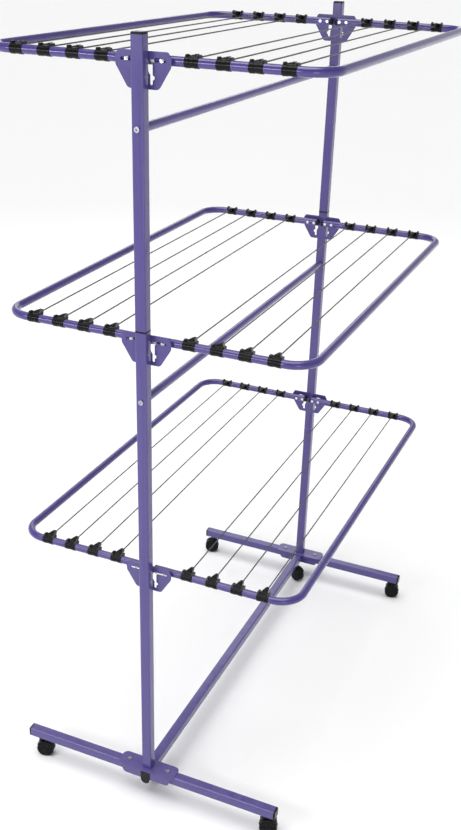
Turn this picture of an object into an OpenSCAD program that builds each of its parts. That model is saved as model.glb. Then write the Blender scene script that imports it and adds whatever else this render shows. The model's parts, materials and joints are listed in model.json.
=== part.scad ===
// Clothes drying rack: two posts on castored feet carry three tiers of folding
// line frames. Millimetres, +Z up, lines along Y.
// The origin is on the floor, midway between the two posts.

/* [Frame] */
// Distance between the centre lines of the two posts
post_spacing = 1000; // [850:10:1150]
// Overall height, from the floor to the top of the post caps
total_h = 1613; // [1600:1:1700]
// Outside width of the square tube
tube_w = 22; // [20:1:24]
// Wall thickness of all the tube
tube_wall = 1.2; // [1:0.1:1.6]
// Length of each foot, with its end caps
foot_l = 624; // [600:2:720]
// Height at which the lower and the upper part of a post meet
post_joint_z = 1116; // [1112:1:1130]
// Outside diameter of the round tube
rod_d = 16; // [14:1:16]
// Height of the upper crossbar
upper_crossbar_z = 1466; // [1440:1:1500]
// Height of the middle crossbar
middle_crossbar_z = 981; // [960:1:1010]

/* [Tiers] */
// Height of the upper tier's tubes
upper_z = 1570; // [1560:1:1580]
// Height of the middle tier's tubes
middle_z = 1093; // [1080:1:1098]
// Height of the lower tier's tubes
lower_z = 596; // [560:1:620]
// Distance from the rack's middle to a folding frame's long side
wing_reach = 312.5; // [300:0.5:330]
// Bend radius of a folding frame's corners
bend_r = 49; // [40:1:50]
// Distance from a post's inner face to a folding frame's short side
wing_gap = 15; // [14:1:18]
// Distance from the rack's middle to the first line
first_line_x = 81; // [75:1:90]
// Distance from one line to the next
line_pitch = 55; // [45:1:56]
// Diameter of a drying line
line_d = 2.6; // [2:0.1:3]

/* [Castors] */
// Wheel diameter
wheel_d = 40; // [36:1:42]
// Height from the floor to the underside of the feet
castor_h = 53; // [50:1:58]
// Distance from the swivel axis to the wheel axle
castor_trail = 9; // [6:1:14]
// Distance from the rack's middle to the castors at the feet's ends
castor_x = 285; // [260:1:290]
// Directions in which the castors trail, anticlockwise from +X
front_left_turn = 15; // [-180:5:180]
front_right_turn = 20; // [-180:5:180]
front_centre_turn = 90; // [-180:5:180]
rear_left_turn = -160; // [-180:5:180]
rear_right_turn = 15; // [-180:5:180]
rear_centre_turn = -30; // [-180:5:180]

/* [Hidden] */
$fn = 48;
fit = 0.06;
eps = 0.5;
post_y = post_spacing / 2;
tube_r = 3;
inner_w = tube_w - 2 * tube_wall;
plug_w = inner_w - 0.2;
foot_top_z = castor_h + tube_w;
cap_t = 4;
cap_plug_l = 14;

saddle_l = 140;
saddle_w = 42;
skirt_y = saddle_w / 2 - 5;
saddle_t = 2;
skirt_h = foot_top_z - 50;
skirt_in = 10;
rib_x = 42;
post_foot_z = foot_top_z + saddle_t;
sleeve_h = 3;
sleeve_plug_l = 30;

screw_shank_r = 2;
screw_head_r = 5;
screw_head_h = 2.4;
screw_shank_l = 8;
socket_r = 2.4;
socket_depth = 1.9;
saddle_screw_x = 48;

rod_r = rod_d / 2;
wing_y = post_y - tube_w / 2 - wing_gap;
wing_end_x = 10;
plug_end_x = 4;
pin_near_x = 15;
pin_far_x = 32;
pin_r = 2;
collar_r = 3.6;
plate_t = 2;
slot_w = 5;
slot_drop = 37;
slot_reach = 41;
folded_drop = 4;
hinge_drop = (pin_far_x - pin_near_x + folded_drop) / 2;
hinge_x = pin_near_x + hinge_drop;
rivet_r = 3.4;
rivet_h = 1.3;

clip_l = 25;
clip_r = 8.9;
arm_reach = 27;
arm_base_w = 13;
arm_tip_w = 6;
line_z = 5.5;
line_end_y = wing_y - arm_reach + 5;

stem_r = 4;
stem_l = 20;
swivel_gap = 0.3;
axle_r = 2;
web_t = 4.6;
castor_w = 22;
hood_t = 2.4;
hood_low_z = wheel_d / 2 + 12;
hood_gap = 0.6;
boss_r = 7;
centre_castor_y = post_y - 33;

// ---- Helpers ----

// Points of one rounded corner of an outline, at b between a and c.
function rounded_corner(a, b, c, r, steps = 5) =
    let (u = (a - b) / norm(a - b),
         v = (c - b) / norm(c - b),
         half = acos(u * v) / 2,
         m = (u + v) / norm(u + v),
         centre = b + m * r / sin(half),
         side = sign(u[0] * v[1] - u[1] * v[0]),
         mid = atan2(-m[1], -m[0]),
         sweep = 90 - half)
    [for (i = [0:steps])
        let (angle = mid + side * sweep * (1 - 2 * i / steps))
        centre + r * [cos(angle), sin(angle)]];

// An outline with each corner rounded by its own radius.
function rounded_outline(points, radii) =
    let (n = len(points))
    [for (i = [0:n - 1])
        each rounded_corner(points[(i + n - 1) % n], points[i], points[(i + 1) % n], radii[i])];

module rounded_rectangle(l, w, r) {
    square([l, w - 2 * r], center = true);
    square([l - 2 * r, w], center = true);
    for (sx = [-1, 1], sy = [-1, 1])
        translate([sx * (l / 2 - r), sy * (w / 2 - r)])
            circle(r);
}

module square_tube(l) {
    linear_extrude(l)
        difference() {
            rounded_rectangle(tube_w, tube_w, tube_r);
            rounded_rectangle(inner_w, inner_w, tube_r - tube_wall);
        }
}

module along_y(l) {
    translate([0, -l / 2, 0])
        rotate([-90, 0, 0])
            linear_extrude(l)
                children();
}

// Turns and moves a child to the front (side = -1) or the rear (side = 1) post.
module at_post(side) {
    if (side < 0)
        translate([0, -post_y, 0])
            children();
    else
        translate([0, post_y, 0])
            rotate([0, 0, 180])
                children();
}

module at_both_posts() {
    for (side = [-1, 1])
        at_post(side)
            children();
}

// ---- Frame: each part is drawn at a post's axis, with its outer face at -Y ----

module screw_hole(z) {
    translate([0, -tube_w / 2 - eps, z])
        rotate([-90, 0, 0])
            cylinder(r = screw_shank_r, h = 2 * tube_wall + eps);
}

module post_lower(side) {
    color([0.38, 0.33, 0.60])
        at_post(side)
            difference() {
                translate([0, 0, post_foot_z])
                    square_tube(post_joint_z - post_foot_z);
                screw_hole(middle_crossbar_z);
            }
}

module post_upper(side) {
    start_z = post_joint_z + sleeve_h;
    color([0.42, 0.36, 0.64])
        at_post(side)
            difference() {
                translate([0, 0, start_z])
                    square_tube(total_h - cap_t - start_z);
                screw_hole(upper_crossbar_z);
            }
}

module post_joint_sleeves() {
    color([0.1, 0.1, 0.11])
        at_both_posts()
            translate([0, 0, post_joint_z]) {
                linear_extrude(sleeve_h)
                    rounded_rectangle(tube_w + 0.6, tube_w + 0.6, tube_r);
                translate([0, 0, -sleeve_plug_l])
                    linear_extrude(2 * sleeve_plug_l + sleeve_h)
                        rounded_rectangle(plug_w, plug_w, tube_r - tube_wall);
            }
}

module tube_end_cap() {
    linear_extrude(cap_t - 1)
        rounded_rectangle(tube_w, tube_w, tube_r);
    linear_extrude(cap_t)
        rounded_rectangle(tube_w - 2, tube_w - 2, tube_r);
    translate([0, 0, -cap_plug_l])
        linear_extrude(cap_plug_l + eps)
            rounded_rectangle(plug_w, plug_w, tube_r - tube_wall);
}

module tube_end_caps() {
    color([0.1, 0.1, 0.11])
        at_both_posts() {
            translate([0, 0, total_h - cap_t])
                tube_end_cap();
            for (end = [-1, 1])
                translate([end * (foot_l / 2 - cap_t), 0, castor_h + tube_w / 2])
                    rotate([0, end * 90, 0])
                        tube_end_cap();
        }
}

module crossbar(z) {
    color([0.40, 0.34, 0.60])
        translate([0, 0, z])
            along_y(post_spacing - tube_w)
                difference() {
                    circle(rod_r);
                    circle(rod_r - tube_wall);
                }
}

module stem_hole() {
    translate([0, 0, castor_h - eps])
        cylinder(r = stem_r + fit, h = 2 * tube_wall + eps);
}

module base_bar() {
    bar_l = post_spacing - 2 * skirt_y;
    color([0.38, 0.33, 0.60])
        difference() {
            translate([0, -bar_l / 2, castor_h + tube_w / 2])
                rotate([-90, 0, 0])
                    square_tube(bar_l);
            for (side = [-1, 1])
                translate([0, side * centre_castor_y, 0])
                    stem_hole();
        }
}

module foot(side) {
    tube_l = foot_l - 2 * cap_t;
    color([0.38, 0.33, 0.60])
        at_post(side)
            difference() {
                translate([-tube_l / 2, 0, castor_h + tube_w / 2])
                    rotate([0, 90, 0])
                        square_tube(tube_l);
                for (end = [-1, 1]) {
                    translate([end * castor_x, 0, 0])
                        stem_hole();
                    translate([end * saddle_screw_x, 0, foot_top_z - 2 * tube_wall])
                        cylinder(r = screw_shank_r, h = 2 * tube_wall + eps);
                }
            }
}

module saddle_skirt() {
    top_x = saddle_l / 2 - skirt_in / 2;
    low_x = top_x - skirt_in;
    outline = rounded_outline(
        [[-top_x, 0], [-low_x, -skirt_h], [low_x, -skirt_h], [top_x, 0]], [0.5, 9, 9, 0.5]);
    rotate([90, 0, 0])
        linear_extrude(saddle_t)
            polygon(outline);
}

module saddle(side) {
    rib_w = skirt_y - saddle_t - tube_w / 2;
    color([0.36, 0.30, 0.56])
        at_post(side)
            translate([0, 0, foot_top_z]) {
                difference() {
                    linear_extrude(saddle_t)
                        rounded_rectangle(saddle_l, saddle_w, 12);
                    for (end = [-1, 1])
                        translate([end * saddle_screw_x, 0, -eps])
                            cylinder(r = screw_shank_r, h = saddle_t + 2 * eps);
                }
                for (face = [-1, 1]) {
                    translate([0, face * (skirt_y - saddle_t / 2) + saddle_t / 2, 0])
                        saddle_skirt();
                    for (x = [-rib_x, 0, rib_x])
                        translate([x, face * (tube_w + rib_w) / 2, -skirt_h / 2 + eps])
                            cube([saddle_t, rib_w, skirt_h - 2 * eps], center = true);
                }
            }
}

module saddle_lock_tabs() {
    tab_t = 2.4;
    tab_r = tube_w / 2;
    round_z = 49;
    color([0.1, 0.1, 0.11])
        at_both_posts()
            translate([0, -skirt_y, 0])
                rotate([90, 0, 0])
                    linear_extrude(tab_t) {
                        translate([0, round_z])
                            circle(tab_r);
                        translate([-tab_r, round_z])
                            square([2 * tab_r, foot_top_z - round_z - 4]);
                    }
}

module frame_screw() {
    difference() {
        cylinder(r = screw_head_r, h = screw_head_h);
        translate([0, 0, screw_head_h - socket_depth])
            cylinder(r = socket_r, h = socket_depth + eps, $fn = 6);
    }
    translate([0, 0, -screw_shank_l])
        cylinder(r = screw_shank_r, h = screw_shank_l + eps);
}

module frame_screws() {
    color([0.8, 0.8, 0.82])
        at_both_posts() {
            for (z = [middle_crossbar_z, upper_crossbar_z])
                translate([0, -tube_w / 2, z])
                    rotate([90, 0, 0])
                        frame_screw();
            for (end = [-1, 1])
                translate([end * saddle_screw_x, 0, post_foot_z])
                    frame_screw();
        }
}

// ---- Slotted brackets that guide the folding frames ----

// The quarter ring that a pin sweeps as its folding frame swings up.
module pin_path(pin_x) {
    start = atan2(hinge_drop, pin_x - hinge_x);
    arc_r = norm([pin_x - hinge_x, hinge_drop]);
    translate([hinge_x, -hinge_drop])
        intersection() {
            difference() {
                circle(arc_r + slot_w / 2);
                circle(arc_r - slot_w / 2);
            }
            rotate(start)
                square(2 * arc_r);
        }
    translate([pin_x, 0])
        circle(slot_w / 2);
}

module bracket_slot() {
    slot_r = slot_w / 2;
    notch_r = 3.6;
    notch_x = pin_near_x + 2.4;
    notch_z = -26;
    translate([pin_near_x, -slot_r])
        square([slot_reach - pin_near_x - slot_r, slot_w]);
    translate([slot_reach - slot_r, 0])
        circle(slot_r);
    translate([pin_near_x - slot_r, -slot_drop + slot_r])
        square([slot_w, slot_drop - slot_r]);
    translate([pin_near_x, -slot_drop + slot_r])
        circle(slot_r);
    translate([notch_x, notch_z])
        circle(notch_r);
    pin_path(pin_near_x);
    pin_path(pin_far_x);
}

module bracket() {
    right_half = [[28, -44], [50, -9], [51, 3], [45, 14]];
    left_half = [for (i = [len(right_half) - 1:-1:0]) [-right_half[i][0], right_half[i][1]]];
    radii = [8, 7, 5, 5];
    outline = rounded_outline(concat(right_half, left_half), concat(radii, [5, 5, 7, 8]));
    rotate([90, 0, 0])
        linear_extrude(plate_t)
            difference() {
                polygon(outline);
                for (side = [0, 1])
                    mirror([side, 0])
                        bracket_slot();
            }
}

module brackets(side) {
    color([0.43, 0.37, 0.65])
        at_post(side)
            for (z = [lower_z, middle_z, upper_z])
                translate([0, tube_w / 2 + plate_t, z])
                    bracket();
}

// ---- Folding frames: drawn on the right at height 0, then moved and mirrored ----

module at_tier(z, side) {
    translate([0, 0, z])
        mirror([side < 0 ? 1 : 0, 0, 0])
            children();
}

module at_both_short_sides() {
    for (side = [0, 1])
        mirror([0, side, 0])
            translate([0, -wing_y, 0])
                children();
}

module wing_sweep(r) {
    corner_x = wing_reach - bend_r;
    corner_y = wing_y - bend_r;
    at_both_short_sides()
        translate([wing_end_x, 0, 0])
            rotate([0, 90, 0])
                cylinder(r = r, h = corner_x - wing_end_x);
    for (side = [0, 1])
        mirror([0, side, 0])
            translate([corner_x, -corner_y, 0])
                rotate([0, 0, -90])
                    rotate_extrude(angle = 90)
                        translate([bend_r, 0])
                            circle(r);
    translate([wing_reach, corner_y, 0])
        rotate([90, 0, 0])
            cylinder(r = r, h = 2 * corner_y);
}

module wing_tube(z, side) {
    color([0.42, 0.36, 0.66])
        at_tier(z, side)
            difference() {
                wing_sweep(rod_r);
                wing_sweep(rod_r - tube_wall);
            }
}

// The plug's end is rounded about the hinge, so that it clears the opposite folding frame.
module wing_plugs(z, side) {
    plug_r = rod_r - tube_wall - 0.1;
    clear_r = hinge_x - swivel_gap;
    color([0.1, 0.1, 0.11])
        at_tier(z, side)
            at_both_short_sides() {
                intersection() {
                    translate([plug_end_x, 0, 0])
                        rotate([0, 90, 0])
                            cylinder(r = rod_r, h = wing_end_x - plug_end_x);
                    translate([hinge_x, 0, -hinge_drop])
                        rotate([90, 0, 0])
                            cylinder(r = clear_r, h = 2 * rod_d, center = true);
                }
                translate([wing_end_x - 1, 0, 0])
                    rotate([0, 90, 0])
                        cylinder(r = plug_r, h = cap_plug_l);
            }
}

module rivet(shank_r, flange_r, flange_h, shank_h) {
    difference() {
        union() {
            cylinder(r = flange_r, h = rod_r + flange_h);
            cylinder(r = shank_r, h = rod_r + shank_h);
        }
        rotate([0, 90, 0])
            cylinder(r = rod_r, h = 4 * flange_r, center = true);
    }
}

// Guide pins on the side towards the bracket, rivet heads on the other side.
module wing_pins(z, side) {
    reach = wing_gap - rod_r - swivel_gap;
    collar_h = wing_gap - rod_r - plate_t - 2 * swivel_gap;
    color([0.8, 0.8, 0.82])
        at_tier(z, side)
            at_both_short_sides()
                for (x = [pin_near_x, pin_far_x])
                    translate([x, 0, 0]) {
                        rotate([90, 0, 0])
                            rivet(pin_r, collar_r, collar_h, reach);
                        rotate([-90, 0, 0])
                            rivet(rivet_r - 1, rivet_r, rivet_h - 0.5, rivet_h);
                    }
}

// A line clip: a ring round the tube, two ears and an arm that narrows to the line.
module line_clip() {
    half = clip_l / 2;
    arm_side = [[0, 8.5], [6, 11], [24, 10.6], [arm_reach, 9], [arm_reach, 3.6], [17, 1.5], [8, -3], [0, -3]];
    arm_plan = [[-half + 1, 0], [-half + 1, 6], [-arm_base_w / 2, 10], [-arm_tip_w / 2, arm_reach],
                [arm_tip_w / 2, arm_reach], [arm_base_w / 2, 10], [half - 1, 6], [half - 1, 0]];
    difference() {
        union() {
            rotate([0, 90, 0])
                cylinder(r = clip_r, h = clip_l, center = true);
            intersection() {
                rotate([90, 0, 90])
                    linear_extrude(clip_l, center = true)
                        polygon(arm_side);
                translate([0, 0, -clip_l / 2])
                    linear_extrude(clip_l)
                        polygon(arm_plan);
            }
            for (end = [-1, 1])
                translate([end * (half - 2), 0, 0])
                    rotate([90, 0, 90])
                        linear_extrude(3.6, center = true)
                            polygon([[-4, 7], [-1, 12], [6, 12], [10, 9], [8, 2], [0, 2]]);
        }
        rotate([0, 90, 0])
            cylinder(r = rod_r + fit, h = clip_l + 2 * eps, center = true);
        translate([0, arm_reach - 5, line_z])
            rotate([-90, 0, 0])
                cylinder(r = line_d / 2, h = 5 + eps);
    }
}

module wing_clips(z, side) {
    color([0.1, 0.1, 0.11])
        at_tier(z, side)
            at_both_short_sides()
                for (i = [0:3])
                    translate([first_line_x + i * line_pitch, 0, 0])
                        line_clip();
}

module wing_lines(z, side) {
    color([0.3, 0.3, 0.32])
        at_tier(z, side)
            for (i = [0:3])
                translate([first_line_x + i * line_pitch, -line_end_y, line_z])
                    rotate([-90, 0, 0])
                        cylinder(r = line_d / 2, h = 2 * line_end_y);
}

// ---- Castors: drawn about the swivel axis, trailing along +X ----

module at_castor(x, y, turn) {
    translate([x, y, 0])
        rotate([0, 0, turn])
            children();
}

module axle_cylinder(r, l) {
    translate([castor_trail, l / 2, wheel_d / 2])
        rotate([90, 0, 0])
            cylinder(r = r, h = l);
}

module castor_housing(x, y, turn) {
    hood_r = wheel_d / 2 + hood_gap + hood_t;
    top_z = castor_h - swivel_gap;
    color([0.1, 0.1, 0.11])
        at_castor(x, y, turn) {
            difference() {
                union() {
                    intersection() {
                        axle_cylinder(hood_r, castor_w);
                        translate([castor_trail - hood_r, -castor_w, hood_low_z])
                            cube([2 * hood_r, 2 * castor_w, hood_r]);
                    }
                    translate([0, 0, hood_low_z])
                        cylinder(r = boss_r, h = top_z - hood_low_z);
                }
                axle_cylinder(wheel_d / 2 + hood_gap, castor_w + 2);
            }
            difference() {
                union() {
                    axle_cylinder(8, web_t);
                    intersection() {
                        axle_cylinder(wheel_d / 2 + hood_gap + 1, web_t);
                        translate([castor_trail - wheel_d, -web_t, wheel_d / 2 - 4])
                            cube([2 * wheel_d, 2 * web_t, wheel_d]);
                    }
                }
                axle_cylinder(axle_r + fit, web_t + 2);
            }
            translate([0, 0, top_z - eps])
                cylinder(r = stem_r, h = stem_l);
        }
}

module castor_wheels(x, y, turn) {
    disc_in = web_t / 2 + 0.3;
    disc_out = castor_w / 2;
    wheel_r = wheel_d / 2;
    color([0.13, 0.13, 0.14])
        at_castor(x, y, turn) {
            translate([castor_trail, 0, wheel_r])
                rotate([90, 0, 0])
                    for (face = [0, 1])
                        mirror([0, 0, face])
                            rotate_extrude()
                                polygon([[0, disc_in], [wheel_r - 1, disc_in], [wheel_r, disc_in + 1],
                                         [wheel_r, disc_out - 2], [wheel_r - 2, disc_out],
                                         [wheel_r - 5, disc_out], [wheel_r - 6, disc_out - 1],
                                         [6, disc_out - 1], [5, disc_out], [0, disc_out]]);
            axle_cylinder(axle_r, web_t + 2);
        }
}

post_lower(-1);  // front_post_lower
post_upper(-1);  // front_post_upper
post_lower(1);  // rear_post_lower
post_upper(1);  // rear_post_upper
tube_end_caps();
post_joint_sleeves();
crossbar(upper_crossbar_z);  // upper_crossbar
crossbar(middle_crossbar_z);  // middle_crossbar
base_bar();
frame_screws();
foot(-1);  // front_foot
foot(1);  // rear_foot
saddle(-1);  // front_saddle
saddle(1);  // rear_saddle
saddle_lock_tabs();
brackets(-1);  // front_brackets
brackets(1);  // rear_brackets
wing_tube(upper_z, -1);  // upper_left_tube
wing_plugs(upper_z, -1);  // upper_left_plugs
wing_pins(upper_z, -1);  // upper_left_pins
wing_clips(upper_z, -1);  // upper_left_clips
wing_lines(upper_z, -1);  // upper_left_lines
wing_tube(upper_z, 1);  // upper_right_tube
wing_plugs(upper_z, 1);  // upper_right_plugs
wing_pins(upper_z, 1);  // upper_right_pins
wing_clips(upper_z, 1);  // upper_right_clips
wing_lines(upper_z, 1);  // upper_right_lines
wing_tube(middle_z, -1);  // middle_left_tube
wing_plugs(middle_z, -1);  // middle_left_plugs
wing_pins(middle_z, -1);  // middle_left_pins
wing_clips(middle_z, -1);  // middle_left_clips
wing_lines(middle_z, -1);  // middle_left_lines
wing_tube(middle_z, 1);  // middle_right_tube
wing_plugs(middle_z, 1);  // middle_right_plugs
wing_pins(middle_z, 1);  // middle_right_pins
wing_clips(middle_z, 1);  // middle_right_clips
wing_lines(middle_z, 1);  // middle_right_lines
wing_tube(lower_z, -1);  // lower_left_tube
wing_plugs(lower_z, -1);  // lower_left_plugs
wing_pins(lower_z, -1);  // lower_left_pins
wing_clips(lower_z, -1);  // lower_left_clips
wing_lines(lower_z, -1);  // lower_left_lines
wing_tube(lower_z, 1);  // lower_right_tube
wing_plugs(lower_z, 1);  // lower_right_plugs
wing_pins(lower_z, 1);  // lower_right_pins
wing_clips(lower_z, 1);  // lower_right_clips
wing_lines(lower_z, 1);  // lower_right_lines
castor_housing(-castor_x, -post_y, front_left_turn);  // front_left_castor
castor_wheels(-castor_x, -post_y, front_left_turn);  // front_left_wheels
castor_housing(castor_x, -post_y, front_right_turn);  // front_right_castor
castor_wheels(castor_x, -post_y, front_right_turn);  // front_right_wheels
castor_housing(0, -centre_castor_y, front_centre_turn);  // front_centre_castor
castor_wheels(0, -centre_castor_y, front_centre_turn);  // front_centre_wheels
castor_housing(-castor_x, post_y, rear_left_turn);  // rear_left_castor
castor_wheels(-castor_x, post_y, rear_left_turn);  // rear_left_wheels
castor_housing(castor_x, post_y, rear_right_turn);  // rear_right_castor
castor_wheels(castor_x, post_y, rear_right_turn);  // rear_right_wheels
castor_housing(0, centre_castor_y, rear_centre_turn);  // rear_centre_castor
castor_wheels(0, centre_castor_y, rear_centre_turn);  // rear_centre_wheels
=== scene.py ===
"""Looks for the clothes drying rack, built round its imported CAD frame.

Lengths are in metres. Sizes given in millimetres are turned into metres by MM.
Places and main sizes are read from the frame's nodes and joints.
"""

import json
import math

import bmesh
import bpy
from mathutils import Matrix, Vector


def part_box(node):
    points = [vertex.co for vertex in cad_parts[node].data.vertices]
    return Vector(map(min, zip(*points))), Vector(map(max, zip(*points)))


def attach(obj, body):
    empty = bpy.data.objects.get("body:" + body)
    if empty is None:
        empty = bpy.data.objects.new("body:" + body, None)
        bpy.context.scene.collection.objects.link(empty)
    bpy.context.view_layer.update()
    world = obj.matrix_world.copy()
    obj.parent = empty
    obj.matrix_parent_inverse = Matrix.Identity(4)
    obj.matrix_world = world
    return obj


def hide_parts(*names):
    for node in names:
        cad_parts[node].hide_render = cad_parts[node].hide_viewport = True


MM = 0.001
SMOOTH_ANGLE = math.radians(35)  # edges that turn more than this stay sharp
FLAT_ANGLE = math.radians(0.5)  # CAD faces that turn less than this are one
AXIS_R = 0.001 * MM  # a lathe profile starts this far from its axis
SAME_POINT = 0.0001 * MM  # built points closer than this are one
CAD_SEAM = 0.001 * MM  # CAD points closer than this are one
LINES_PER_WING = 4
LIGHT_TARGET = (0, 0, 0.8)  # about the middle of the rack
SIDES = ("left", "right")
TIERS = ("upper", "middle", "lower")
ENDS = ("front", "rear")
WINGS = [f"{tier}_{side}" for tier in TIERS for side in SIDES]
CASTORS = [f"{end}_{place}" for end in ENDS for place in ("left", "centre", "right")]


# ---- Mesh helpers ----

def add_faces(bm, rings, closed_path=False):
    """Joins rings of equal length into a skin, with end caps unless the path is closed."""
    loops = [[bm.verts.new(p) for p in ring] for ring in rings]
    pairs = list(zip(loops, loops[1:]))
    if closed_path:
        pairs.append((loops[-1], loops[0]))
    for a, b in pairs:
        for i in range(len(a)):
            j = (i + 1) % len(a)
            bm.faces.new((a[i], a[j], b[j], b[i]))
    if not closed_path:
        bm.faces.new(loops[0][::-1])
        bm.faces.new(loops[-1])


def lathe(bm, profile, turns, segments):
    """Revolves a closed profile of (along, radius) points; turns maps +Z to the wanted axis."""
    rings = []
    for i in range(segments):
        angle = 2 * math.pi * i / segments
        rings.append([turns @ Vector((r * math.cos(angle), r * math.sin(angle), along))
                      for along, r in profile])
    add_faces(bm, rings, closed_path=True)


def prism(bm, outline, start, end, place):
    """Extrudes an outline of (y, z) points along X from start to end."""
    rings = [[place @ Vector((x, y, z)) for y, z in outline] for x in (start, end)]
    add_faces(bm, rings)


def loft(bm, sections, place):
    """Joins rectangles given as (y, half width, low z, high z)."""
    rings = []
    for y, half, low, high in sections:
        corners = ((-half, low), (half, low), (half, high), (-half, high))
        rings.append([place @ Vector((x, y, z)) for x, z in corners])
    add_faces(bm, rings)


def finish_mesh(bm, name):
    """Cleans a bmesh up and returns it as a mesh."""
    bmesh.ops.remove_doubles(bm, verts=bm.verts, dist=SAME_POINT)
    bmesh.ops.recalc_face_normals(bm, faces=bm.faces)
    mesh = bpy.data.meshes.new(name)
    bm.to_mesh(mesh)
    bm.free()
    return mesh


def add_piece(name, mesh, body, material, nodes, bevel=0.0):
    """Puts a mesh in the scene as a piece that rides on a body and stands for CAD nodes."""
    mesh.polygons.foreach_set("use_smooth", [True] * len(mesh.polygons))
    piece = bpy.data.objects.new(name, mesh)
    bpy.context.collection.objects.link(piece)
    mesh.materials.clear()
    mesh.materials.append(material)
    if bevel:
        edge = piece.modifiers.new("edges", "BEVEL")
        edge.width = bevel
        edge.segments = 2
        edge.limit_method = "ANGLE"
        edge.angle_limit = SMOOTH_ANGLE
        edge.use_clamp_overlap = True
        edge.harden_normals = True
    mesh.set_sharp_from_angle(angle=SMOOTH_ANGLE)
    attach(piece, body)
    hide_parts(*nodes)


def soften_node(node, body, material, bevel):
    """Replaces a CAD node by a copy with its edges rounded, as moulding or paint leaves them."""
    bm = bmesh.new()
    bm.from_mesh(frame["nodes"][node].data)
    bmesh.ops.remove_doubles(bm, verts=bm.verts, dist=CAD_SEAM)
    bmesh.ops.dissolve_limit(bm, angle_limit=FLAT_ANGLE, verts=bm.verts, edges=bm.edges)
    name = f"{node}_soft"
    add_piece(name, finish_mesh(bm, name), body, material, nodes=(node,), bevel=bevel)


def in_metres(points):
    """Points or sections written in millimetres, in metres."""
    return [tuple(v * MM for v in point) for point in points]


# ---- Material helpers ----

class Shader:
    """A material's node tree with short calls to add nodes."""

    def __init__(self, name):
        self.material = bpy.data.materials.new(name)
        self.material.use_nodes = True
        self.tree = self.material.node_tree
        self.surface = self.tree.nodes["Principled BSDF"]
        self.coords = self.tree.nodes.new("ShaderNodeTexCoord").outputs["Object"]

    def put(self, socket, value):
        """Links a node's output to a socket, or sets the socket to a plain value."""
        if isinstance(value, bpy.types.NodeSocket):
            self.tree.links.new(value, socket)
        else:
            socket.default_value = value

    def set(self, **values):
        """Sets the surface shader's inputs; underscores stand for spaces."""
        for name, value in values.items():
            self.put(self.surface.inputs[name.replace("_", " ")], value)

    def noise(self, scale, detail, roughness=0.5, coords=None):
        """Cloudy noise from 0 to 1; scale is roughly how many clouds fit in a metre."""
        node = self.tree.nodes.new("ShaderNodeTexNoise")
        self.put(node.inputs["Vector"], coords or self.coords)
        self.put(node.inputs["Scale"], scale)
        self.put(node.inputs["Detail"], detail)
        self.put(node.inputs["Roughness"], roughness)
        return node.outputs["Fac"]

    def spread(self, value, low, high, start=0.3, end=0.7):
        """Maps start..end of a value to low..high, held at both ends."""
        node = self.tree.nodes.new("ShaderNodeMapRange")
        self.put(node.inputs["Value"], value)
        self.put(node.inputs["From Min"], start)
        self.put(node.inputs["From Max"], end)
        self.put(node.inputs["To Min"], low)
        self.put(node.inputs["To Max"], high)
        return node.outputs["Result"]

    def mix(self, share, a, b):
        """A colour from a, where share is 0, to b, where it is 1."""
        node = self.tree.nodes.new("ShaderNodeMix")
        node.data_type = "RGBA"
        self.put(node.inputs["Factor"], share)
        self.put(node.inputs["A"], a)
        self.put(node.inputs["B"], b)
        return node.outputs["Result"]

    def times(self, a, b):
        """The product of two values."""
        node = self.tree.nodes.new("ShaderNodeMath")
        node.operation = "MULTIPLY"
        self.put(node.inputs[0], a)
        self.put(node.inputs[1], b)
        return node.outputs["Value"]

    def stretched(self, x, y, z):
        """The piece's coordinates, scaled along each axis."""
        node = self.tree.nodes.new("ShaderNodeMapping")
        self.put(node.inputs["Vector"], self.coords)
        self.put(node.inputs["Scale"], (x, y, z))
        return node.outputs["Vector"]

    def height_of(self, vector):
        """A vector's Z part."""
        split = self.tree.nodes.new("ShaderNodeSeparateXYZ")
        self.put(split.inputs["Vector"], vector)
        return split.outputs["Z"]

    def facing_up(self):
        """How far the surface faces upwards, from -1 to 1."""
        geometry = self.tree.nodes.new("ShaderNodeNewGeometry")
        return self.height_of(geometry.outputs["Normal"])

    def worn_edges(self, start, end):
        """0 on flats to 1 on sharp outer edges."""
        geometry = self.tree.nodes.new("ShaderNodeNewGeometry")
        return self.spread(geometry.outputs["Pointiness"], 0, 1, start, end)

    def bump(self, height, distance, strength, under=None):
        """Relief from a height, on top of another relief if one is given."""
        node = self.tree.nodes.new("ShaderNodeBump")
        self.put(node.inputs["Height"], height)
        self.put(node.inputs["Distance"], distance)
        self.put(node.inputs["Strength"], strength)
        if under:
            self.put(node.inputs["Normal"], under)
        return node.outputs["Normal"]


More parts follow.
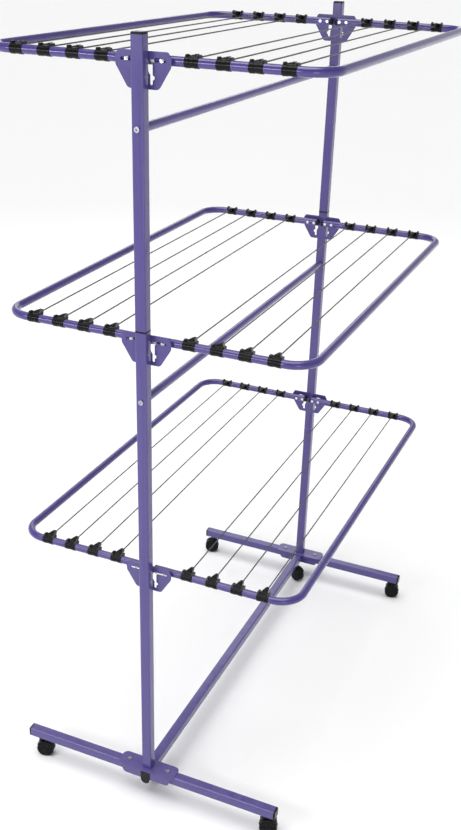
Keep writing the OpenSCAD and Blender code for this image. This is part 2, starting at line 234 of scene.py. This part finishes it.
def make_powder_coat():
    """Satin purple powder coat: orange peel, slow tone changes, rubbed edges, and paler, greyer upward
    faces, partly a little dust, partly painted sheen.
    """
    s = Shader("powder_coat")
    deep = (0.052, 0.036, 0.195, 1)
    full = (0.063, 0.045, 0.219, 1)
    fleck = (0.095, 0.072, 0.300, 1)
    bare = (0.210, 0.175, 0.430, 1)
    top_grey = (0.42, 0.40, 0.46, 1)
    clouds = s.spread(s.noise(scale=7, detail=3), 0, 1)
    flecks = s.spread(s.noise(scale=900, detail=1), 0, 0.25)
    rubbing = s.times(s.worn_edges(0.52, 0.60), 0.45)
    # Painted sheen: upward faces turn paler and greyer, partly from dust lying on them, partly
    # standing in for the light that tops catch from above.
    upward_share = s.spread(s.facing_up(), 0, 0.18, start=0.5, end=1)
    dust = s.times(upward_share, s.noise(scale=55, detail=4))
    paint = s.mix(flecks, s.mix(clouds, deep, full), fleck)
    s.set(Base_Color=s.mix(dust, s.mix(rubbing, paint, bare), top_grey))
    s.set(Roughness=s.spread(s.noise(scale=38, detail=4), 0.20, 0.26))
    peel = s.bump(s.noise(scale=520, detail=2, roughness=0.4), distance=0.06 * MM, strength=0.6)
    grain = s.noise(scale=1900, detail=1)
    s.set(Normal=s.bump(grain, distance=0.02 * MM, strength=0.5, under=peel))
    s.set(Specular_IOR_Level=0.35, Coat_Weight=0.45, Coat_Roughness=0.06)
    return s.material


def make_black_plastic(name, grain_scale, smooth, rough):
    """Moulded black plastic with a fine spark-eroded grain and rubbed edges."""
    s = Shader(name)
    black = (0.004, 0.004, 0.005, 1)
    charcoal = (0.009, 0.009, 0.010, 1)
    worn = (0.075, 0.075, 0.080, 1)
    top_grey = (0.080, 0.078, 0.080, 1)
    clouds = s.spread(s.noise(scale=45, detail=4), 0, 1)
    rubbing = s.times(s.worn_edges(0.53, 0.62), 0.5)
    upward_share = s.spread(s.facing_up(), 0, 0.06, start=0.3, end=1)
    dust = s.times(upward_share, s.noise(scale=90, detail=5, roughness=0.7))
    plastic = s.mix(rubbing, s.mix(clouds, black, charcoal), worn)
    s.set(Base_Color=s.mix(dust, plastic, top_grey))
    s.set(Roughness=s.spread(s.noise(scale=160, detail=3), smooth, rough))
    marks = s.bump(s.noise(scale=70, detail=6, roughness=0.65), distance=0.12 * MM, strength=0.5)
    grain = s.noise(scale=grain_scale, detail=2)
    s.set(Normal=s.bump(grain, distance=0.05 * MM, strength=0.8, under=marks))
    s.set(Specular_IOR_Level=0.14)
    return s.material


def make_wheel_plastic():
    """Hard black tread with scuffs and, low down, floor dust."""
    s = Shader("castor_wheel")
    black = (0.004, 0.004, 0.005, 1)
    scuffed = (0.024, 0.023, 0.023, 1)
    floor_dust = (0.20, 0.19, 0.17, 1)
    dust_top = 12 * MM
    scuffs = s.spread(s.noise(scale=420, detail=5, roughness=0.7), 0, 0.6, start=0.55, end=0.75)
    low = s.spread(s.height_of(s.coords), 0.12, 0, start=0, end=dust_top)
    dust = s.times(low, s.noise(scale=260, detail=3))
    s.set(Base_Color=s.mix(dust, s.mix(scuffs, black, scuffed), floor_dust))
    s.set(Roughness=s.spread(s.noise(scale=200, detail=3), 0.34, 0.52))
    s.set(Normal=s.bump(s.noise(scale=900, detail=3), distance=0.06 * MM, strength=0.8))
    s.set(Specular_IOR_Level=0.15)
    return s.material


def make_zinc(name, dark, light):
    """Zinc plate, slightly clouded, with fine drawing marks."""
    s = Shader(name)
    clouds = s.spread(s.noise(scale=240, detail=4), 0, 1)
    s.set(Base_Color=s.mix(clouds, dark, light))
    s.set(Roughness=s.spread(s.noise(scale=600, detail=3), 0.22, 0.40))
    marks = s.noise(scale=60, detail=3, coords=s.stretched(40, 4, 40))
    s.set(Normal=s.bump(marks, distance=0.03 * MM, strength=0.6))
    s.set(Metallic=1)
    return s.material


def make_line_coat():
    """Plastic-coated line: dark, slightly clear coat over twisted strands."""
    s = Shader("line_cord")
    dark = (0.024, 0.024, 0.022, 1)
    clear = (0.040, 0.040, 0.036, 1)
    strand = (0.070, 0.070, 0.062, 1)
    wave = s.tree.nodes.new("ShaderNodeTexWave")
    wave.bands_direction = "DIAGONAL"
    s.put(wave.inputs["Vector"], s.stretched(1, 0.35, 1))
    s.put(wave.inputs["Scale"], 260)
    s.put(wave.inputs["Distortion"], 0.4)
    strands = wave.outputs["Fac"]
    coat = s.mix(s.spread(s.noise(scale=25, detail=3), 0, 1), dark, clear)
    s.set(Base_Color=s.mix(s.times(strands, 0.35), coat, strand))
    s.set(Roughness=s.spread(s.noise(scale=300, detail=2), 0.35, 0.5))
    s.set(Normal=s.bump(strands, distance=0.15 * MM, strength=0.6))
    s.set(Specular_IOR_Level=0.5, Coat_Weight=0.2, Coat_Roughness=0.25)
    return s.material


def make_materials():
    """Every material that a piece can take, by name."""
    fine_black = make_black_plastic("black_plastic", grain_scale=2100, smooth=0.18, rough=0.32)
    coarse_black = make_black_plastic("castor_plastic", grain_scale=1500, smooth=0.20, rough=0.36)
    return {
        "powder_coat": make_powder_coat(),
        "black_plastic": fine_black,
        "castor_plastic": coarse_black,
        "castor_wheel": make_wheel_plastic(),
        # The same zinc twice, with light and shade painted in: a brighter copy on the pins for painted
        # glints, a darker, bluer copy on the screws for painted shade.
        "pin_zinc_painted_glint": make_zinc("pin_zinc_painted_glint", dark=(0.62, 0.63, 0.67, 1), light=(0.80, 0.81, 0.84, 1)),
        "screw_zinc_painted_shade": make_zinc("screw_zinc_painted_shade", dark=(0.36, 0.36, 0.42, 1), light=(0.60, 0.60, 0.66, 1)),
        "line_cord": make_line_coat(),
    }


# ---- Pieces ----

def add_line_clip(bm, place, rod_r):
    """One moulded clip: a grooved band, an arm that narrows to the line, and two ears."""
    half = 12.5 * MM
    band_r = rod_r + 0.9 * MM
    groove_r = band_r - 0.5 * MM
    inner_r = rod_r + 0.05 * MM
    chamfer = 0.6 * MM
    groove = 3.5 * MM
    rib_half = 1 * MM
    ear_half = 1.8 * MM
    profile = [(-half, inner_r), (-half, band_r - chamfer), (-half + chamfer, band_r),
               (-groove - chamfer, band_r), (-groove, groove_r), (groove, groove_r),
               (groove + chamfer, band_r), (half - chamfer, band_r),
               (half, band_r - chamfer), (half, inner_r)]
    lathe(bm, profile, place @ Matrix.Rotation(math.pi / 2, 4, "Y"), segments=40)
    # The arm's sections and the outlines of rib and ear are in millimetres.
    arm = [(1, 9, 2, 8.4), (6, 7.6, 0, 9.8), (9, 6, 0.4, 10.6), (14, 5, 1.2, 10.8),
           (20, 4, 2.4, 10.6), (25, 3, 3.2, 10), (27, 2.4, 4, 8.6)]
    loft(bm, in_metres(arm), place)
    rib = [(6, 10), (10, 11.8), (22, 11.4), (25, 9)]
    prism(bm, in_metres(rib), -rib_half, rib_half, place)
    ear = [(-4, 7), (-1, 11.9), (6, 11.9), (11.5, 9), (9, 2), (2, 2)]
    for end in (-1, 1):
        middle = end * (half - ear_half)
        prism(bm, in_metres(ear), middle - ear_half, middle + ear_half, place)


def clip_places(wing):
    """Where a folding frame's eight clips sit, and the radius of the tube that they grip.

    +Y of each place points at the middle of the rack.
    """
    tube_low, tube_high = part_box(f"{wing}_tube")
    line_low, line_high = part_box(f"{wing}_lines")
    rod_r = (tube_high[2] - tube_low[2]) / 2
    line_r = (line_high[2] - line_low[2]) / 2
    height = tube_low[2] + rod_r
    side_y = tube_high[1] - rod_r
    first = line_low[0] + line_r
    pitch = (line_high[0] - line_r - first) / (LINES_PER_WING - 1)
    places = []
    for i in range(LINES_PER_WING):
        x = first + i * pitch
        places.append(Matrix.Translation((x, -side_y, height)))
        places.append(Matrix.Translation((x, side_y, height)) @ Matrix.Rotation(math.pi, 4, "Z"))
    return places, rod_r


def build_clips(wing, materials):
    """A folding frame's eight line clips, as one piece."""
    bm = bmesh.new()
    places, rod_r = clip_places(wing)
    for place in places:
        add_line_clip(bm, place, rod_r)
    name = f"{wing}_clip_set"
    add_piece(name, finish_mesh(bm, name), f"{wing}_wing",
              materials["black_plastic"], nodes=(f"{wing}_clips",), bevel=0.5 * MM)


def coat_lines(wing, materials):
    """Gives a folding frame's drying lines, kept as the CAD has them, their finish."""
    mesh = frame["nodes"][f"{wing}_lines"].data
    mesh.materials.clear()
    mesh.materials.append(materials["line_cord"])


def castor_place(castor):
    """The castor's own frame, its trail, its wheel radius and the height of its stem's joint.

    The origin is on the floor under the stem, and +X points towards the axle.
    """
    joints = {joint["name"]: joint for joint in frame["joints"]}
    stem = Vector(joints[f"{castor}_turn"]["pos_m"])
    axle = Vector(joints[f"{castor}_roll"]["pos_m"])
    trail = Vector((axle.x - stem.x, axle.y - stem.y, 0))
    turn = math.atan2(trail.y, trail.x)
    place = Matrix.Translation((stem.x, stem.y, 0)) @ Matrix.Rotation(turn, 4, "Z")
    return place, trail.length, axle.z, stem.z


def arc(centre, r, start, end, steps):
    """Points (x, z) on an arc, from a start to an end angle in degrees."""
    points = []
    for i in range(steps + 1):
        angle = math.radians(start + (end - start) * i / steps)
        points.append((centre[0] + r * math.cos(angle), centre[1] + r * math.sin(angle)))
    return points


def add_plate(bm, outline, half, place):
    """A plate in the castor's X-Z plane, half its thickness each side of it."""
    rings = [[place @ Vector((x, y, z)) for x, z in outline] for y in (-half, half)]
    add_faces(bm, rings)


def castor_half_width(castor):
    """Half the width of the twin wheel, measured along its axle, from the wheel's solid."""
    place = castor_place(castor)[0]
    node = frame["nodes"][f"{castor}_wheels"]
    to_castor = place.inverted() @ node.matrix_world
    return max((to_castor @ v.co).y for v in node.data.vertices)


def build_castor_housing(castor, materials):
    """The hood over the wheels, the web between them, and the boss and stem on top."""
    place, trail, wheel_r, top_z = castor_place(castor)
    centre = (trail, wheel_r)
    web_half = 2.3 * MM
    hood_in = wheel_r + 0.6 * MM
    hood_out = wheel_r + 3 * MM
    hood_start = 36
    hood_end = 144
    web_r = hood_in + 0.5 * MM
    axle_eye_r = 8 * MM
    boss_r = 7 * MM
    stem_r = 4 * MM
    stem_l = 15 * MM
    stem_tip = 1 * MM
    edge = 0.6 * MM
    collar_h = 2.6 * MM
    nick = 0.4 * MM
    bm = bmesh.new()
    hood = (arc(centre, hood_out, hood_start, hood_end, steps=24)
            + arc(centre, hood_in, hood_end, hood_start, steps=24))
    add_plate(bm, hood, castor_half_width(castor), place)
    web = arc(centre, web_r, 5, 175, steps=20) + arc(centre, axle_eye_r, 200, 340, steps=12)
    add_plate(bm, web, web_half, place)
    low = wheel_r + hood_in - 3 * MM
    top = top_z - 0.3 * MM
    boss = [(low, AXIS_R), (low, boss_r), (top - collar_h - nick, boss_r - nick),
            (top - collar_h, boss_r), (top - edge, boss_r), (top, boss_r - edge), (top, stem_r),
            (top + stem_l - stem_tip, stem_r), (top + stem_l, stem_r - stem_tip),
            (top + stem_l, AXIS_R)]
    lathe(bm, boss, place, segments=32)
    name = f"{castor}_housing"
    add_piece(name, finish_mesh(bm, name), f"{castor}_swivel",
              materials["castor_plastic"], nodes=(f"{castor}_castor",), bevel=0.5 * MM)


def build_castor_wheels(castor, materials):
    """Two dished discs with six ribs each, and the axle between them."""
    place, trail, wheel_r, _ = castor_place(castor)
    gap = 2.6 * MM
    out = castor_half_width(castor)
    rim = wheel_r - 3.5 * MM
    hub = 6 * MM
    dish = out - 1.6 * MM
    pin_r = 2.2 * MM
    axle_r = 2 * MM
    axle_end = gap + 0.5 * MM
    spokes = 6
    spoke_half = 0.8 * MM
    disc = [(gap, AXIS_R), (gap, wheel_r - 1.2 * MM), (gap + 0.8 * MM, wheel_r - 0.2 * MM),
            (gap + 2 * MM, wheel_r), (out - 2.4 * MM, wheel_r), (out - 1 * MM, wheel_r - 0.6 * MM),
            (out - 0.2 * MM, wheel_r - 1.8 * MM), (out, rim + 0.4 * MM), (out - 0.3 * MM, rim),
            (dish, rim - 0.8 * MM), (dish + 0.4 * MM, (rim + hub) / 2), (dish, hub + 0.8 * MM),
            (out - 0.3 * MM, hub), (out, hub - 0.6 * MM), (out, pin_r),
            (out - 0.8 * MM, pin_r - 0.6 * MM), (out - 0.8 * MM, AXIS_R)]
    spoke = [(-spoke_half, dish - 0.4 * MM), (spoke_half, dish - 0.4 * MM),
             (spoke_half, out - 0.4 * MM), (-spoke_half, out - 0.4 * MM)]
    axle = [(-axle_end, AXIS_R), (-axle_end, axle_r), (axle_end, axle_r), (axle_end, AXIS_R)]
    at_axle = place @ Matrix.Translation((trail, 0, wheel_r))
    bm = bmesh.new()
    for face in (-1, 1):
        turns = at_axle @ Matrix.Rotation(face * math.pi / 2, 4, "X")
        lathe(bm, disc, turns, segments=56)
        for i in range(spokes):
            turned = turns @ Matrix.Rotation(2 * math.pi * i / spokes, 4, "Z")
            prism(bm, spoke, hub, rim, turned)
    lathe(bm, axle, at_axle @ Matrix.Rotation(math.pi / 2, 4, "X"), segments=24)
    name = f"{castor}_twin_wheel"
    add_piece(name, finish_mesh(bm, name), f"{castor}_wheel",
              materials["castor_wheel"], nodes=(f"{castor}_wheels",))


def soften_frame(materials):
    """Rounds the edges of the CAD parts whose shape is already right."""
    sawn_edge = 0.3 * MM
    fine_edge = 0.2 * MM
    plug_edge = 0.4 * MM
    punched_edge = 0.5 * MM
    moulded_edge = 0.6 * MM
    coated = [
        (sawn_edge, ["front_post_lower", "front_post_upper", "rear_post_lower", "rear_post_upper"]),
        (fine_edge, ["upper_crossbar", "middle_crossbar"]),
        (sawn_edge, ["base_bar", "front_foot", "rear_foot"]),
        (moulded_edge, ["front_saddle", "rear_saddle"]),
        (punched_edge, ["front_brackets", "rear_brackets"]),
    ]
    for edge, nodes in coated:
        for node in nodes:
            soften_node(node, "frame", materials["powder_coat"], edge)
    for node in ("tube_end_caps", "post_joint_sleeves", "saddle_lock_tabs"):
        soften_node(node, "frame", materials["black_plastic"], moulded_edge)
    soften_node("frame_screws", "frame", materials["screw_zinc_painted_shade"], punched_edge)
    for wing in WINGS:
        body = f"{wing}_wing"
        soften_node(f"{wing}_tube", body, materials["powder_coat"], fine_edge)
        soften_node(f"{wing}_plugs", body, materials["black_plastic"], plug_edge)
        soften_node(f"{wing}_pins", body, materials["pin_zinc_painted_glint"], sawn_edge)


# ---- Stage ----

def add_floor():
    """A wide white floor under the castors."""
    mesh = bpy.data.meshes.new("floor")
    reach = 40.0
    corners = [(-reach, -reach, 0), (reach, -reach, 0), (reach, reach, 0), (-reach, reach, 0)]
    mesh.from_pydata(corners, [], [(0, 1, 2, 3)])
    floor = bpy.data.objects.new("floor", mesh)
    bpy.context.collection.objects.link(floor)
    s = Shader("studio_floor")
    white = (0.94, 0.94, 0.94, 1)
    bright_white = (0.96, 0.96, 0.96, 1)
    s.set(Base_Color=s.mix(s.noise(scale=0.6, detail=2), white, bright_white))
    s.set(Roughness=0.75, Specular_IOR_Level=0.2)
    mesh.materials.append(s.material)


def aim(lamp, place):
    """Puts a lamp in the scene, pointing from its place at the rack."""
    towards_rack = Vector(LIGHT_TARGET) - Vector(place)
    lamp.location = place
    lamp.rotation_euler = towards_rack.to_track_quat("-Z", "Y").to_euler()
    bpy.context.collection.objects.link(lamp)


def add_softbox(name, place, width, height, watts):
    """A rectangular soft light."""
    light = bpy.data.lights.new(name, "AREA")
    light.shape = "RECTANGLE"
    light.size = width
    light.size_y = height
    light.energy = watts
    aim(bpy.data.objects.new(name, light), place)


def add_surroundings():
    """White at the horizon, greyer overhead."""
    horizon_strength = 0.7
    overhead_strength = 0.15
    grey_from = 0.5
    world = bpy.data.worlds.new("studio")
    world.use_nodes = True
    tree = world.node_tree
    coords = tree.nodes.new("ShaderNodeTexCoord")
    split = tree.nodes.new("ShaderNodeSeparateXYZ")
    fade = tree.nodes.new("ShaderNodeMapRange")
    background = tree.nodes["Background"]
    tree.links.new(coords.outputs["Generated"], split.inputs["Vector"])
    tree.links.new(split.outputs["Z"], fade.inputs["Value"])
    tree.links.new(fade.outputs["Result"], background.inputs["Strength"])
    fade.inputs["From Min"].default_value = 0
    fade.inputs["From Max"].default_value = grey_from
    fade.inputs["To Min"].default_value = horizon_strength
    fade.inputs["To Max"].default_value = overhead_strength
    background.inputs["Color"].default_value = (1, 1, 1, 1)
    bpy.context.scene.world = world


def add_lights():
    """Pale surroundings, one broad overhead light and three softboxes."""
    add_surroundings()
    overhead = bpy.data.lights.new("overhead", "SUN")
    overhead.energy = 2.6
    overhead.angle = math.radians(50)
    aim(bpy.data.objects.new("overhead", overhead), place=(-0.2, -0.2, 3.0))
    add_softbox("right_softbox", place=(2.0, -3.0, 1.2), width=0.9, height=1.6, watts=12)
    add_softbox("front_softbox", place=(-1.1, -2.7, 1.8), width=1.5, height=0.32, watts=24)
    add_softbox("back_softbox", place=(-1.9, 3.5, 2.7), width=3.0, height=1.4, watts=18)


def add_camera():
    """The photograph's viewpoint, fitted to the rack's straight edges."""
    place = Vector((0.8204, -2.0353, 1.7609))
    heading = math.radians(-22.815)
    pitch = math.radians(-27.92)
    roll = math.radians(1.753)
    ahead = Vector((math.sin(heading), math.cos(heading), 0))
    forward = ahead * math.cos(pitch) + Vector((0, 0, math.sin(pitch)))
    level = Vector((math.cos(heading), -math.sin(heading), 0))
    upright = level.cross(forward)
    right = level * math.cos(roll) + upright * math.sin(roll)
    up = upright * math.cos(roll) - level * math.sin(roll)
    data = bpy.data.cameras.new("camera")
    data.sensor_fit = "VERTICAL"
    data.sensor_height = 36.0
    data.lens = 44.37
    data.shift_x = 0.0023
    data.shift_y = 0.0652
    camera = bpy.data.objects.new("camera", data)
    turn = Matrix((right, up, -forward)).transposed().to_4x4()
    camera.matrix_world = Matrix.Translation(place) @ turn
    bpy.context.collection.objects.link(camera)
    bpy.context.scene.camera = camera


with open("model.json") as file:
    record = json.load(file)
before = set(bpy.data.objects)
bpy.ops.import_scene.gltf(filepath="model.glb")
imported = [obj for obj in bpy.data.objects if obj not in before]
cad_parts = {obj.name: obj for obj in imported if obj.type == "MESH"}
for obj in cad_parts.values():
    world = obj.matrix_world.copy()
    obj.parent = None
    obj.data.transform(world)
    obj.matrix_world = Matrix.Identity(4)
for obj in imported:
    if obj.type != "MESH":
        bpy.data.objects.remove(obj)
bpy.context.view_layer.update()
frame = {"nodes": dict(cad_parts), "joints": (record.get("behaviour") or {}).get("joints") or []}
materials = make_materials()
soften_frame(materials)
for wing in WINGS:
    build_clips(wing, materials)
    coat_lines(wing, materials)
for castor in CASTORS:
    build_castor_housing(castor, materials)
    build_castor_wheels(castor, materials)
add_floor()
add_lights()
add_camera()
bpy.context.scene.view_settings.view_transform = "Standard"
